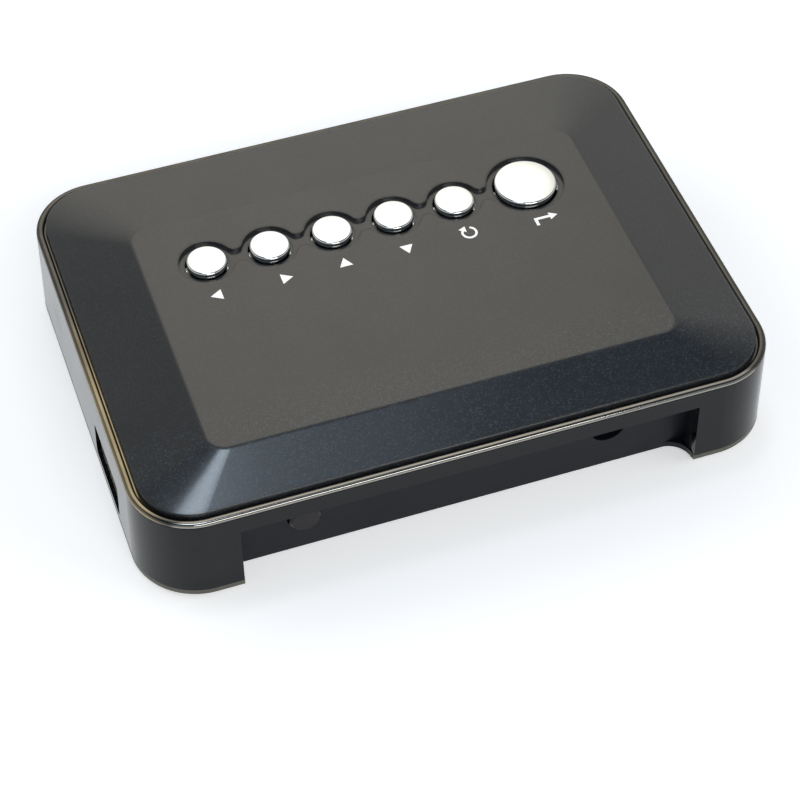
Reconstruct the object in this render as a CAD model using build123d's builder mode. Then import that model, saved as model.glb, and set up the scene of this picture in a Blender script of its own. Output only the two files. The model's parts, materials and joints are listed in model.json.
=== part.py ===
"""Small solid-state media player with six push buttons on its lid.

Frame: the origin is on the table under the centre of the case. The front, from which the
lid's symbols read upright, faces -Y, the cable recess is in the rear at +Y, and the USB
socket is in the +X wall. All sizes are in millimetres.
"""
import os
from math import atan, degrees

from build123d import *

# ------------------------------------------------------------------ case
CASE_LENGTH = 110.0          # outline of the base plate
CASE_DEPTH = 81.0
CASE_CORNER_RADIUS = 11.2
WALL_LEAN = 0.4              # the walls lean in by this much from foot to rim
WALL_THICKNESS = 2.5         # at the foot of the walls
WALL_HEIGHT = 15.35          # from the flange of the base plate to the rim
BASE_THICKNESS = 1.9
BASE_FLANGE = 1.1            # the walls stand on this thinner edge of the base plate
BASE_STEP_FIT = 0.15         # clearance of the thick middle inside the walls
BASE_EDGE_CHAMFER = 0.15

# ------------------------------------------------------------------ trim ring on the rim
RIM_GROOVE = 0.2             # dark line between the walls and the bead
RIM_LIP = 0.8                # thin upper edge of the walls, outside the ring's seat
RIM_REBATE_DEPTH = 1.15
RING_FIT = 0.1               # clearance of the ring in the rebate
RING_LEDGE_REACH = 1.1       # how far the ledge stands in from the walls
BEAD_WIDTH = 1.4
BEAD_HEIGHT = 0.55
BEAD_CHAMFER = 0.35

# ------------------------------------------------------------------ lid
LID_GAP = 0.2                # dark line between the bead and the lid
LID_EDGE_HEIGHT = 1.3        # steep face round the lid
LID_EDGE_LEAN = 0.17
LID_WALL = 1.8
BEVEL_RISE = 2.45
PANEL_LENGTH = 80.4          # flat field in the middle of the lid
PANEL_DEPTH = 51.6
PANEL_SHIFT = 3.2            # the flat field lies nearer to the rear
PANEL_CORNER_RADIUS = 3.2
PANEL_INNER_STEP = 0.7       # the hollow's flat is this much smaller on each side
HOLLOW_MOUTH_BEVEL = 4.4
HOLLOW_TOP_BEVEL = 1.5
PANEL_EDGE_ROUND = 2.5

# ------------------------------------------------------------------ buttons
BUTTON_LINE_Y = -11.55
BUTTON_PITCH = 11.1
SMALL_BUTTONS = ["return", "up", "down", "left", "right"]
FIRST_SMALL_X = -15.1
CONFIRM_SPACING = 13.15      # from the return button to the large confirm button
SMALL_CAP_DIAMETER = 6.9
CONFIRM_CAP_DIAMETER = 10.9
CAP_STAND = 0.45             # the caps stand proud of the flat field
CAP_EDGE_CHAMFER = 0.3
CAP_HOLE_CLEARANCE = 0.3
CAP_EAR_REACH = 1.1          # ears under the lid, which keep the cap in its hole
CAP_EAR_WIDTH = 3.0
CAP_EAR_THICKNESS = 1.0
CAP_EAR_GAP = 0.1
WELL_MARGIN = 1.35           # round each cap
WELL_DEPTH = 0.7
WELL_NECK_WIDTH = 2.8
WELL_NECK_ROUNDING = 0.8     # share of the largest round that fits between two wells

# ------------------------------------------------------------------ key board and switches
SWITCH_SIZE = 6.0
SWITCH_BODY_HEIGHT = 3.5
SWITCH_PLUNGER_RISE = 0.8
SWITCH_PLUNGER_WIDTH = 2.8
SWITCH_BORE_CLEARANCE = 0.3
SWITCH_BORE_DEPTH = 1.7
SWITCH_TRAVEL = 0.3
KEY_BOARD_THICKNESS = 1.2
KEY_BOARD_MARGIN = 2.8       # board beyond the centres of its screws
KEY_SCREW_OFFSET = 6.0       # middle screw, behind the button line
KEY_BOSS_DIAMETER = 4.4
KEY_BOSS_CLEARANCE = 0.4
KEY_SCREW_DIAMETER = 1.9
KEY_SCREW_LENGTH = 5.0
KEY_SCREW_HEAD_DIAMETER = 3.8
KEY_SCREW_HEAD_HEIGHT = 1.2

# ------------------------------------------------------------------ rear recess and its sockets
RECESS_LENGTH = 78.4
RECESS_DEPTH = 4.4           # from the foot of the rear wall
RECESS_HEIGHT = 13.1         # from the underside of the base plate
RECESS_WALL = 2.0
RECESS_ROOF = 1.6
RECESS_LARGE_ROUND = 3.9     # corner of the base plate's notch at its -X end
RECESS_SMALL_ROUND = 0.4
HDMI_X = -7.5
HDMI_AXIS_HEIGHT = 11.25
HDMI_MOUTH_WIDTH = 14.0
HDMI_MOUTH_HEIGHT = 4.55
HDMI_LENGTH = 11.5
HDMI_TONGUE_WIDTH = 11.6
HDMI_TONGUE_THICKNESS = 1.1
HDMI_TONGUE_SET_BACK = 0.9
HDMI_BLOCK_DEPTH = 3.8
HDMI_BLOCK_FIT = 0.05
HDMI_FOOT_LENGTH = 5.8
HDMI_FOOT_WIDTH = 0.6
HDMI_CORNER = 1.3            # bevelled lower corners of the mouth
HDMI_SET_BACK = 0.3          # shell behind the recess wall
HDMI_FIT = 0.05
AV_X = 10.0
AV_AXIS_HEIGHT = 11.3
AV_BORE_DIAMETER = 3.6
AV_NOSE_DIAMETER = 5.0
AV_BODY_WIDTH = 6.4
AV_BODY_HEIGHT = 5.0
AV_LENGTH = 15.0
AV_BACK_WALL = 1.0
POWER_X = -25.0
POWER_AXIS_HEIGHT = 9.8
POWER_BORE_DIAMETER = 5.7
POWER_BORE_DEPTH = 9.5
POWER_PIN_DIAMETER = 2.0
POWER_PIN_SET_BACK = 1.0     # tip of the pin behind the mouth
POWER_BODY_WIDTH = 9.0
POWER_BODY_HEIGHT = 8.4
POWER_BODY_LENGTH = 13.5
POWER_BODY_CHAMFER = 1.8
RECEIVER_X = 27.7
RECEIVER_AXIS_HEIGHT = 8.6
RECEIVER_NOSE_DIAMETER = 5.3
RECEIVER_REACH = 1.2         # the nose stands out of the recess wall
RECEIVER_BODY_WIDTH = 6.0
RECEIVER_BODY_HEIGHT = 6.6
RECEIVER_BODY_LENGTH = 4.0
RECEIVER_NOSE_CHAMFER = 0.4
RECEIVER_LEAD_LENGTH = 3.0
RECEIVER_LEAD_WIDTH = 0.5
RECEIVER_LEAD_PITCH = 2.0
SOCKET_FIT = 0.2             # round each socket in its wall
SKIRT_FIT = 0.1              # between the base plate and the foot of the recess wall

# ------------------------------------------------------------------ USB socket in the side wall
USB_Y = 14.6
USB_OPENING_WIDTH = 14.8
USB_OPENING_HEIGHT = 7.2
USB_OPENING_ROUND = 1.0
USB_SHELL_WIDTH = 13.1
USB_SHELL_HEIGHT = 5.7
USB_SHELL_LENGTH = 14.0
USB_TONGUE_WIDTH = 11.1
USB_TONGUE_THICKNESS = 1.84
USB_TONGUE_SET_BACK = 0.9    # tip of the tongue behind the mouth
USB_BLOCK_DEPTH = 3.5
USB_BLOCK_FIT = 0.15
USB_CONTACT_LENGTH = 7.0
USB_CONTACT_WIDTH = 1.0
USB_CONTACT_PITCH = 2.5
USB_CONTACT_THICKNESS = 0.15
USB_TONGUE_OFFSET = 0.75     # the tongue lies above the middle of the mouth
USB_SET_BACK = 0.7           # shell behind the outer face of the wall
SHEET_THICKNESS = 0.3        # sheet metal of both shells

# ------------------------------------------------------------------ main board
STANDOFF_HEIGHT = 3.7
STANDOFF_DIAMETER = 5.2
STANDOFF_X = 35.0
STANDOFF_FRONT_Y = -24.0
STANDOFF_REAR_Y = 24.5
BOARD_THICKNESS = 1.6
BOARD_CLEARANCE = 1.2        # to the walls
BOARD_REAR_CLEARANCE = 0.6   # to the recess wall
BOARD_CUTOUT_CLEARANCE = 0.4
BOARD_SCREW_DIAMETER = 2.4
BOARD_SCREW_LENGTH = 4.5
BOARD_SCREW_HEAD_DIAMETER = 4.4
BOARD_SCREW_HEAD_HEIGHT = 1.6

# ------------------------------------------------------------------ case screws, posts, feet
POST_INSET_X = 8.8           # from the sides of the case to the posts
POST_INSET_Y = 10.3
POST_DIAMETER = 5.8
CASE_SCREW_DIAMETER = 2.5
CASE_SCREW_LENGTH = 9.0
CASE_SCREW_HEAD_DIAMETER = 4.8
CASE_SCREW_HEAD_HEIGHT = 0.9
CASE_SCREW_RECESS_DEPTH = 1.1
SCREW_CLEARANCE = 0.1        # radial, round every shank
SCREW_HEAD_CLEARANCE = 0.4
HIDDEN_ROUND_SIDES = 12      # screw heads, bosses, posts and cans inside the case
SCREW_SHANK_SIDES = 8        # plain shanks stand for threads
FOOT_INSET_X = 17.5
FOOT_INSET_Y = 11.5
FOOT_DIAMETER = 8.0
FOOT_STAND = 0.8             # the feet lift the case by this much
VENT_COUNT = 7
VENT_PITCH = 4.6
VENT_WIDTH = 1.8
VENT_LENGTH = 16.0

# ------------------------------------------------------------------ chips and small parts
PROCESSOR_SIZE = 17.0
PROCESSOR_HEIGHT = 1.4
PROCESSOR_CENTRE = (-6.0, 9.0)
PAD_THICKNESS = 0.6
PAD_SIZE = 14.5
SINK_SIZE = 22.0
SINK_BASE = 1.6
SINK_FIN_HEIGHT = 3.6
SINK_FIN_THICKNESS = 1.0
SINK_FIN_COUNT = 7
CHIP_EDGE_CHAMFER = 0.15
MEMORY_SIZE = (8.0, 10.0, 1.1)
MEMORY_X = 14.5
MEMORY_PITCH = 11.5
MEMORY_CLEARANCE = 1.6       # in front of the AV jack
FLASH_SIZE = (12.0, 18.4, 1.1)
FLASH_CENTRE = (-28.0, 5.0)
CRYSTAL_SIZE = (11.0, 4.6, 3.4)
CRYSTAL_CHAMFER = 1.15
CRYSTAL_CENTRE = (27.5, 10.0)
INDUCTOR_SIZE = 7.0
INDUCTOR_HEIGHT = 3.6
INDUCTOR_CHAMFER = 1.4
INDUCTOR_INSET_X = 12.5      # from the -X side of the case
INDUCTOR_Y = 13.0
CAPACITOR_DIAMETER = 6.3
CAPACITOR_HEIGHT = 5.4
CAPACITOR_BASE = 6.6
CAPACITOR_BASE_HEIGHT = 0.9
CAPACITOR_INSET_X = 10.0     # two stand near the -X side of the case
CAPACITOR_LINE = [1.0, -8.5]
LONE_CAPACITOR_CENTRE = (26.0, 17.5)
HEADER_LENGTH = 10.0
HEADER_DEPTH = 4.0
HEADER_X = 24.0
HEADER_Y = -15.5
MAIN_HEADER_HEIGHT = 1.7
KEY_HEADER_HEIGHT = 1.8
CABLE_WIDTH = 8.0
CABLE_THICKNESS = 0.25
CABLE_RUN = 2.4              # straight part in front of each header

# ------------------------------------------------------------------ levels and derived sizes
base_bottom = FOOT_STAND
base_top = base_bottom + BASE_THICKNESS
wall_foot = base_bottom + BASE_FLANGE
wall_top = wall_foot + WALL_HEIGHT
rebate_floor = wall_top - RIM_REBATE_DEPTH
seat_level = wall_top + RIM_GROOVE
lid_edge_level = seat_level + LID_EDGE_HEIGHT
panel_level = lid_edge_level + BEVEL_RISE
lid_underside = panel_level - LID_WALL
cap_top = panel_level + CAP_STAND
ear_top = lid_underside - CAP_EAR_GAP
plunger_top = ear_top - CAP_EAR_THICKNESS
switch_top = plunger_top - SWITCH_PLUNGER_RISE
key_board_top = switch_top - SWITCH_BODY_HEIGHT
key_board_bottom = key_board_top - KEY_BOARD_THICKNESS
board_bottom = base_top + STANDOFF_HEIGHT
board_top = board_bottom + BOARD_THICKNESS

draft_angle = degrees(atan(WALL_LEAN / (wall_top - base_bottom)))
lean_at_wall_foot = WALL_LEAN * BASE_FLANGE / (wall_top - base_bottom)
rebate_inset = WALL_LEAN + RIM_LIP
bead_inner_inset = WALL_LEAN + BEAD_WIDTH
ledge_inset = WALL_THICKNESS + RING_LEDGE_REACH
lid_inset = bead_inner_inset + LID_GAP
lid_hollow_inset = lid_inset + LID_WALL

cavity_half_length = CASE_LENGTH / 2 - WALL_THICKNESS
cavity_half_depth = CASE_DEPTH / 2 - WALL_THICKNESS
recess_face = CASE_DEPTH / 2 - RECESS_DEPTH
recess_inner_face = recess_face - RECESS_WALL
av_jack_back = recess_inner_face - AV_LENGTH + RECESS_WALL
recess_roof_level = base_bottom + RECESS_HEIGHT
usb_axis_height = base_top + USB_OPENING_HEIGHT / 2
usb_front = CASE_LENGTH / 2 - USB_SET_BACK
usb_back = usb_front - USB_SHELL_LENGTH

confirm_x = FIRST_SMALL_X - CONFIRM_SPACING
caps = [("confirm", confirm_x, CONFIRM_CAP_DIAMETER)]
for place, button_name in enumerate(SMALL_BUTTONS):
    caps.append((button_name, FIRST_SMALL_X + place * BUTTON_PITCH, SMALL_CAP_DIAMETER))
last_x = caps[-1][1]
small_ear_end = SMALL_CAP_DIAMETER / 2 + CAP_EAR_REACH
confirm_ear_end = CONFIRM_CAP_DIAMETER / 2 + CAP_EAR_REACH

boss_step = KEY_BOSS_DIAMETER / 2 + KEY_BOSS_CLEARANCE
left_boss_x = confirm_x - confirm_ear_end - boss_step
right_boss_x = last_x + small_ear_end + boss_step
middle_boss_x = FIRST_SMALL_X + 1.5 * BUTTON_PITCH
key_screw_places = [
    (left_boss_x, BUTTON_LINE_Y),
    (right_boss_x, BUTTON_LINE_Y),
    (middle_boss_x, BUTTON_LINE_Y + KEY_SCREW_OFFSET),
]
post_x = CASE_LENGTH / 2 - POST_INSET_X
post_y = CASE_DEPTH / 2 - POST_INSET_Y
post_places = [(-post_x, -post_y), (post_x, -post_y), (-post_x, post_y), (post_x, post_y)]
standoff_places = [
    (-STANDOFF_X, STANDOFF_FRONT_Y),
    (STANDOFF_X, STANDOFF_FRONT_Y),
    (-STANDOFF_X, STANDOFF_REAR_Y),
    (STANDOFF_X, STANDOFF_REAR_Y),
]
foot_x = CASE_LENGTH / 2 - FOOT_INSET_X
foot_y = CASE_DEPTH / 2 - FOOT_INSET_Y
foot_places = [(-foot_x, -foot_y), (foot_x, -foot_y), (-foot_x, foot_y), (foot_x, foot_y)]

finished = []


def keep(piece, name):
    """Label a finished piece and remember it for writing."""
    piece.label = name
    finished.append(piece)


def case_outline(inset):
    """Rounded outline of the case, drawn in by inset on every side."""
    return RectangleRounded(
        CASE_LENGTH - 2 * inset, CASE_DEPTH - 2 * inset, CASE_CORNER_RADIUS - inset
    )


def ring_outline(outer_inset, inner_inset):
    """Band between two outlines of the case."""
    case_outline(outer_inset)
    RectangleRounded(
        CASE_LENGTH - 2 * inner_inset,
        CASE_DEPTH - 2 * inner_inset,
        CASE_CORNER_RADIUS - inner_inset,
        mode=Mode.SUBTRACT,
    )


def pilot_hole(shank_diameter):
    """Section of the hole round a screw's shank."""
    RegularPolygon(shank_diameter / 2 + SCREW_CLEARANCE, SCREW_SHANK_SIDES)


def rear_plane(y, x, z):
    """Plane that faces the rear, with its x axis along -X and its y axis up."""
    return Plane(origin=(x, y, z), x_dir=(-1, 0, 0), z_dir=(0, 1, 0))


# ------------------------------------------------------------------ base plate
with BuildPart() as bottom_cover:
    with BuildSketch(Plane.XY.offset(base_bottom)):
        case_outline(0)
    extrude(amount=BASE_FLANGE, taper=draft_angle)
    chamfer(bottom_cover.faces().sort_by(Axis.Z)[0].edges(), BASE_EDGE_CHAMFER)
    # thick middle, which locates the walls
    with BuildSketch(Plane.XY.offset(wall_foot)):
        case_outline(WALL_THICKNESS + BASE_STEP_FIT)
    extrude(amount=BASE_THICKNESS - BASE_FLANGE)
    # notch behind the foot of the recess wall
    notch_depth = CASE_DEPTH / 2 - recess_inner_face + SKIRT_FIT
    with BuildSketch(Plane.XY.offset(base_bottom)):
        with Locations((0, CASE_DEPTH / 2)):
            Rectangle(RECESS_LENGTH, 2 * notch_depth)
    extrude(amount=BASE_THICKNESS, mode=Mode.SUBTRACT)
    # room for the housing of the recess, which stands on the flange
    with BuildSketch(Plane.XY.offset(wall_foot)):
        with Locations((0, CASE_DEPTH / 2)):
            Rectangle(RECESS_LENGTH + 2 * (RECESS_WALL + SKIRT_FIT), 2 * notch_depth)
    extrude(amount=BASE_THICKNESS, mode=Mode.SUBTRACT)
    # standoffs of the main board
    with BuildSketch(Plane.XY.offset(base_top)):
        with Locations(*standoff_places):
            RegularPolygon(STANDOFF_DIAMETER / 2, HIDDEN_ROUND_SIDES)
    extrude(amount=STANDOFF_HEIGHT)
    # sunk holes of the case screws
    with BuildSketch(Plane.XY.offset(base_bottom)):
        with Locations(*post_places):
            Circle(CASE_SCREW_HEAD_DIAMETER / 2 + SCREW_HEAD_CLEARANCE)
    extrude(amount=CASE_SCREW_RECESS_DEPTH, mode=Mode.SUBTRACT)
    with BuildSketch(Plane.XY.offset(base_bottom)):
        with Locations(*post_places):
            pilot_hole(CASE_SCREW_DIAMETER)
    extrude(amount=BASE_THICKNESS, mode=Mode.SUBTRACT)
    # screw holes of the standoffs
    with BuildSketch(Plane.XY.offset(board_bottom)):
        with Locations(*standoff_places):
            pilot_hole(BOARD_SCREW_DIAMETER)
    extrude(amount=-STANDOFF_HEIGHT, mode=Mode.SUBTRACT)
    # vent slots under the processor
    with BuildSketch(Plane.XY.offset(base_bottom)):
        with Locations(PROCESSOR_CENTRE):
            with GridLocations(VENT_PITCH, 1, VENT_COUNT, 1):
                Rectangle(VENT_WIDTH, VENT_LENGTH)
    extrude(amount=BASE_THICKNESS, mode=Mode.SUBTRACT)
keep(bottom_cover.part, "bottom_cover")

with BuildPart() as rubber_feet:
    with BuildSketch():
        with Locations(*foot_places):
            Circle(FOOT_DIAMETER / 2)
    extrude(amount=FOOT_STAND)
keep(rubber_feet.part, "rubber_feet")

# ------------------------------------------------------------------ side frame
with BuildPart() as side_frame:
    with BuildSketch(Plane.XY.offset(wall_foot)):
        case_outline(lean_at_wall_foot)
    extrude(amount=WALL_HEIGHT, taper=draft_angle)
    with BuildSketch(Plane.XY.offset(wall_foot)):
        case_outline(WALL_THICKNESS)
    extrude(amount=WALL_HEIGHT, mode=Mode.SUBTRACT)
    with BuildSketch(Plane.XY.offset(rebate_floor)):
        case_outline(rebate_inset)
    extrude(amount=RIM_REBATE_DEPTH, mode=Mode.SUBTRACT)
    # housing of the cable recess, open to the rear and below
    recess_shell_depth = cavity_half_depth + WALL_THICKNESS / 2 - recess_inner_face
    with BuildSketch(Plane.XY.offset(wall_foot)):
        with Locations((0, recess_inner_face + recess_shell_depth / 2)):
            Rectangle(RECESS_LENGTH + 2 * RECESS_WALL, recess_shell_depth)
    extrude(amount=recess_roof_level + RECESS_ROOF - wall_foot)
    with BuildSketch(Plane.XY.offset(wall_foot)):
        with Locations((0, recess_face + RECESS_DEPTH)):
            Rectangle(RECESS_LENGTH, 2 * RECESS_DEPTH)
    extrude(amount=recess_roof_level - wall_foot, mode=Mode.SUBTRACT)
    # foot of the recess wall, down to the underside, with one large and one small round
    with BuildSketch(Plane.XY.offset(base_bottom)) as skirt:
        with Locations((0, (recess_inner_face + CASE_DEPTH / 2) / 2)):
            Rectangle(RECESS_LENGTH - 2 * SKIRT_FIT, CASE_DEPTH / 2 - recess_inner_face)
        with BuildSketch(mode=Mode.PRIVATE) as opening:
            with Locations((0, recess_face + RECESS_DEPTH)):
                Rectangle(RECESS_LENGTH - 2 * SKIRT_FIT, 2 * RECESS_DEPTH)
            inner_corners = opening.vertices().group_by(Axis.Y)[0].sort_by(Axis.X)
            fillet(inner_corners[0], RECESS_LARGE_ROUND)
            fillet(opening.vertices().group_by(Axis.Y)[0].sort_by(Axis.X)[-1], RECESS_SMALL_ROUND)
        add(opening.sketch, mode=Mode.SUBTRACT)
    extrude(amount=BASE_FLANGE)
    # holes of the rear sockets
    with BuildSketch(rear_plane(recess_inner_face, HDMI_X, HDMI_AXIS_HEIGHT)):
        Rectangle(
            HDMI_MOUTH_WIDTH + 2 * (SHEET_THICKNESS + HDMI_FIT),
            HDMI_MOUTH_HEIGHT + 2 * (SHEET_THICKNESS + HDMI_FIT),
        )
    extrude(amount=RECESS_WALL, mode=Mode.SUBTRACT)
    round_sockets = [
        (AV_X, AV_AXIS_HEIGHT, AV_NOSE_DIAMETER),
        (POWER_X, POWER_AXIS_HEIGHT, POWER_BORE_DIAMETER),
        (RECEIVER_X, RECEIVER_AXIS_HEIGHT, RECEIVER_NOSE_DIAMETER),
    ]
    for socket_x, socket_height, socket_diameter in round_sockets:
        with BuildSketch(rear_plane(recess_inner_face, socket_x, socket_height)):
            Circle(socket_diameter / 2 + SOCKET_FIT)
        extrude(amount=RECESS_WALL, mode=Mode.SUBTRACT)
    # USB opening, above the thick middle of the base plate
    usb_wall = Plane(
        origin=(cavity_half_length - WALL_THICKNESS, USB_Y, usb_axis_height),
        x_dir=(0, 1, 0),
        z_dir=(1, 0, 0),
    )
    with BuildSketch(usb_wall) as usb_opening:
        Rectangle(USB_OPENING_WIDTH, USB_OPENING_HEIGHT)
        fillet(usb_opening.vertices().group_by(Axis.Z)[-1], USB_OPENING_ROUND)
    extrude(amount=3 * WALL_THICKNESS, mode=Mode.SUBTRACT)
keep(side_frame.part, "side_frame")

# ------------------------------------------------------------------ trim ring
with BuildPart() as trim_ring:
    with BuildSketch(Plane.XY.offset(seat_level)):
        ring_outline(WALL_LEAN, bead_inner_inset)
    extrude(amount=BEAD_HEIGHT)
    chamfer(trim_ring.edges().group_by(Axis.Z)[-1], BEAD_CHAMFER)
    with BuildSketch(Plane.XY.offset(rebate_floor)):
        ring_outline(rebate_inset + RING_FIT, ledge_inset)
    extrude(amount=seat_level - rebate_floor)
keep(trim_ring.part, "trim_ring")


# ------------------------------------------------------------------ lid
def well_radius(cap_diameter):
    return cap_diameter / 2 + WELL_MARGIN


small_well_radius = well_radius(SMALL_CAP_DIAMETER)
neck_half = WELL_NECK_WIDTH / 2
largest_neck_round = (BUTTON_PITCH**2 / 4 + neck_half**2 - small_well_radius**2) / (
    2 * (small_well_radius - neck_half)
)
neck_round = WELL_NECK_ROUNDING * largest_neck_round

with BuildPart() as top_cover:
    with BuildSketch(Plane.XY.offset(seat_level)):
        case_outline(lid_inset)
    extrude(amount=LID_EDGE_HEIGHT, taper=degrees(atan(LID_EDGE_LEAN / LID_EDGE_HEIGHT)))
    with BuildSketch(Plane.XY.offset(lid_edge_level)):
        case_outline(lid_inset + LID_EDGE_LEAN)
    with BuildSketch(Plane.XY.offset(panel_level)):
        with Locations((0, PANEL_SHIFT)):
            RectangleRounded(PANEL_LENGTH, PANEL_DEPTH, PANEL_CORNER_RADIUS)
    loft(ruled=True)
    fillet(top_cover.faces().sort_by(Axis.Z)[-1].edges(), PANEL_EDGE_ROUND)
    # hollow underside, with bevelled corners
    with BuildSketch(Plane.XY.offset(seat_level)) as hollow_mouth:
        Rectangle(CASE_LENGTH - 2 * lid_hollow_inset, CASE_DEPTH - 2 * lid_hollow_inset)
        chamfer(hollow_mouth.vertices(), HOLLOW_MOUTH_BEVEL)
    with BuildSketch(Plane.XY.offset(lid_underside)) as hollow_top:
        with Locations((0, PANEL_SHIFT)):
            Rectangle(PANEL_LENGTH - 2 * PANEL_INNER_STEP, PANEL_DEPTH - 2 * PANEL_INNER_STEP)
        chamfer(hollow_top.vertices(), HOLLOW_TOP_BEVEL)
    loft(ruled=True, mode=Mode.SUBTRACT)
    # chain-shaped well
    with BuildSketch(Plane.XY.offset(panel_level)) as well:
        for cap_name, cap_x, cap_diameter in caps:
            with Locations((cap_x, BUTTON_LINE_Y)):
                Circle(well_radius(cap_diameter))
        with Locations(((confirm_x + last_x) / 2, BUTTON_LINE_Y)):
            Rectangle(last_x - confirm_x, WELL_NECK_WIDTH)
        neck_corners = [
            corner
            for corner in well.vertices()
            if abs(corner.Y - BUTTON_LINE_Y) > neck_half / 2
        ]
        fillet(neck_corners, neck_round)
    extrude(amount=-WELL_DEPTH, mode=Mode.SUBTRACT)
    # holes of the caps
    with BuildSketch(Plane.XY.offset(panel_level)):
        for cap_name, cap_x, cap_diameter in caps:
            with Locations((cap_x, BUTTON_LINE_Y)):
                Circle(cap_diameter / 2 + CAP_HOLE_CLEARANCE)
    extrude(amount=-LID_WALL, mode=Mode.SUBTRACT)
    # bosses of the key board
    with BuildSketch(Plane.XY.offset(key_board_top)):
        with Locations(*key_screw_places):
            RegularPolygon(KEY_BOSS_DIAMETER / 2, HIDDEN_ROUND_SIDES)
    extrude(amount=lid_underside - key_board_top)
    with BuildSketch(Plane.XY.offset(key_board_top)):
        with Locations(*key_screw_places):
            pilot_hole(KEY_SCREW_DIAMETER)
    extrude(amount=KEY_SCREW_LENGTH, mode=Mode.SUBTRACT)
    # posts of the case screws
    with BuildSketch(Plane.XY.offset(base_top)):
        with Locations(*post_places):
            RegularPolygon(POST_DIAMETER / 2, HIDDEN_ROUND_SIDES)
    extrude(amount=lid_edge_level - base_top)
    with BuildSketch(Plane.XY.offset(base_top)):
        with Locations(*post_places):
            pilot_hole(CASE_SCREW_DIAMETER)
    extrude(amount=CASE_SCREW_LENGTH, mode=Mode.SUBTRACT)
keep(top_cover.part, "top_cover")


# ------------------------------------------------------------------ button caps and plungers
def button_cap(name, cap_x, cap_diameter):
    """Round cap with two ears under the lid. It stands on its switch's plunger."""
    with BuildPart() as cap:
        with BuildSketch(Plane.XY.offset(plunger_top)):
            with Locations((cap_x, BUTTON_LINE_Y)):
                Circle(cap_diameter / 2)
        extrude(amount=cap_top - plunger_top)
        chamfer(cap.faces().sort_by(Axis.Z)[-1].edges(), CAP_EDGE_CHAMFER)
        with BuildSketch(Plane.XY.offset(plunger_top)):
            with Locations((cap_x, BUTTON_LINE_Y)):
                Rectangle(cap_diameter + 2 * CAP_EAR_REACH, CAP_EAR_WIDTH)
        extrude(amount=CAP_EAR_THICKNESS)
    keep(cap.part, "cap_" + name)


def switch_plunger(name, cap_x):
    """Square actuator of one switch, which carries the cap."""
    with BuildPart() as plunger:
        with BuildSketch(Plane.XY.offset(plunger_top)):
            with Locations((cap_x, BUTTON_LINE_Y)):
                Rectangle(SWITCH_PLUNGER_WIDTH, SWITCH_PLUNGER_WIDTH)
        extrude(amount=-(SWITCH_PLUNGER_RISE + SWITCH_BORE_DEPTH - 2 * SWITCH_TRAVEL))
    keep(plunger.part, "plunger_" + name)


for cap_name, cap_x, cap_diameter in caps:
    button_cap(cap_name, cap_x, cap_diameter)
    switch_plunger(cap_name, cap_x)

# ------------------------------------------------------------------ key board
switch_places = [(cap_x, BUTTON_LINE_Y) for cap_name, cap_x, cap_diameter in caps]
switch_bore_width = SWITCH_PLUNGER_WIDTH + 2 * SWITCH_BORE_CLEARANCE

with BuildPart() as key_board:
    with BuildSketch(Plane.XY.offset(key_board_bottom)):
        with Locations(((left_boss_x + right_boss_x) / 2, BUTTON_LINE_Y)):
            Rectangle(
                right_boss_x - left_boss_x + 2 * KEY_BOARD_MARGIN,
                2 * (KEY_SCREW_OFFSET + KEY_BOARD_MARGIN),
            )
        with BuildSketch(mode=Mode.PRIVATE) as key_holes:
            with Locations(*key_screw_places):
                pilot_hole(KEY_SCREW_DIAMETER)
        add(key_holes.sketch, mode=Mode.SUBTRACT)
    extrude(amount=KEY_BOARD_THICKNESS)
keep(key_board.part, "key_board")

with BuildPart() as tact_switch_bodies:
    with BuildSketch(Plane.XY.offset(key_board_top)):
        with Locations(*switch_places):
            Rectangle(SWITCH_SIZE, SWITCH_SIZE)
    extrude(amount=SWITCH_BODY_HEIGHT)
    with BuildSketch(Plane.XY.offset(switch_top)):
        with Locations(*switch_places):
            Rectangle(switch_bore_width, switch_bore_width)
    extrude(amount=-SWITCH_BORE_DEPTH, mode=Mode.SUBTRACT)
keep(tact_switch_bodies.part, "tact_switch_bodies")


def screws(name, places, head_level, upward, shank, length, head, head_height):
    """Screws in one node. Their shanks point up or down from head_level."""
    direction = 1 if upward else -1
    with BuildPart() as group:
        with BuildSketch(Plane.XY.offset(head_level)):
            with Locations(*places):
                RegularPolygon(shank / 2, SCREW_SHANK_SIDES)
        extrude(amount=direction * length)
        with BuildSketch(Plane.XY.offset(head_level)):
            with Locations(*places):
                RegularPolygon(head / 2, HIDDEN_ROUND_SIDES)
        extrude(amount=-direction * head_height)
    keep(group.part, name)


screws(
    "key_board_screws", key_screw_places, key_board_bottom, True,
    KEY_SCREW_DIAMETER, KEY_SCREW_LENGTH, KEY_SCREW_HEAD_DIAMETER, KEY_SCREW_HEAD_HEIGHT,
)
screws(
    "board_screws", standoff_places, board_top, False,
    BOARD_SCREW_DIAMETER, BOARD_SCREW_LENGTH, BOARD_SCREW_HEAD_DIAMETER, BOARD_SCREW_HEAD_HEIGHT,
)
screws(
    "case_screws", post_places, base_bottom + CASE_SCREW_RECESS_DEPTH, True,
    CASE_SCREW_DIAMETER, CASE_SCREW_LENGTH, CASE_SCREW_HEAD_DIAMETER, CASE_SCREW_HEAD_HEIGHT,
)

# ------------------------------------------------------------------ main board
board_half_length = cavity_half_length - BOARD_CLEARANCE
board_front = -(cavity_half_depth - BOARD_CLEARANCE)
board_rear = recess_inner_face - BOARD_REAR_CLEARANCE
post_clearance = POST_DIAMETER / 2 + BOARD_CUTOUT_CLEARANCE

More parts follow.
